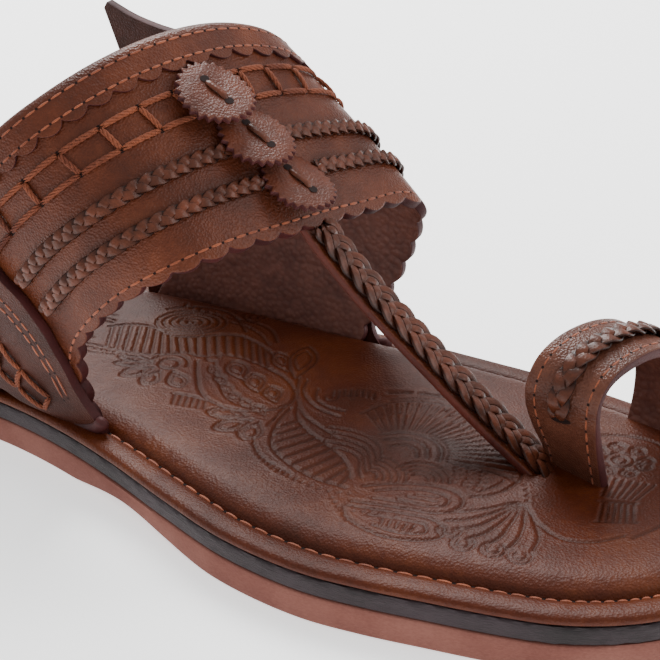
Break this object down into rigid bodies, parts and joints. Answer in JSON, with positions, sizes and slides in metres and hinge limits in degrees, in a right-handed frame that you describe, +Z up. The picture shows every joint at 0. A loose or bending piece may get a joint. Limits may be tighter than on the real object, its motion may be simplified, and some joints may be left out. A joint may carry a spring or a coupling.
{
  "type": "kolhapuri chappal",
  "caption": "Open leather sandal with a wide decorated instep band, side flaps, a braided toe post strap, a toe ring and an embossed padded footbed.",
  "frame": {"origin": "on the floor under the middle of the heel", "axes": "+X to the toe, +Y to the big-toe side, +Z up"},
  "size_m": [0.28, 0.1046, 0.107],
  "materials": {
    "outsole": "matte moulded rubber",
    "midsole": "burnished dark edge",
    "footbed": "polished, embossed",
    "upper": "waxed, light grain",
    "plait": "braided thongs",
    "rosette": "pinked, waxed",
    "thread": "waxed thread"
  },
  "bodies": {
    "root": {"outsole": "outsole", "midsole": "midsole", "footbed": "footbed", "upper": "upper", "ear_lateral": "upper", "ear_medial": "upper", "plait_rear_lateral": "plait", "plait_rear_medial": "plait", "plait_front_lateral": "plait", "plait_front_medial": "plait", "plait_ring": "plait", "rosette_rear": "rosette", "rosette_middle": "rosette", "rosette_front": "rosette"}
  },
  "joints": []
}
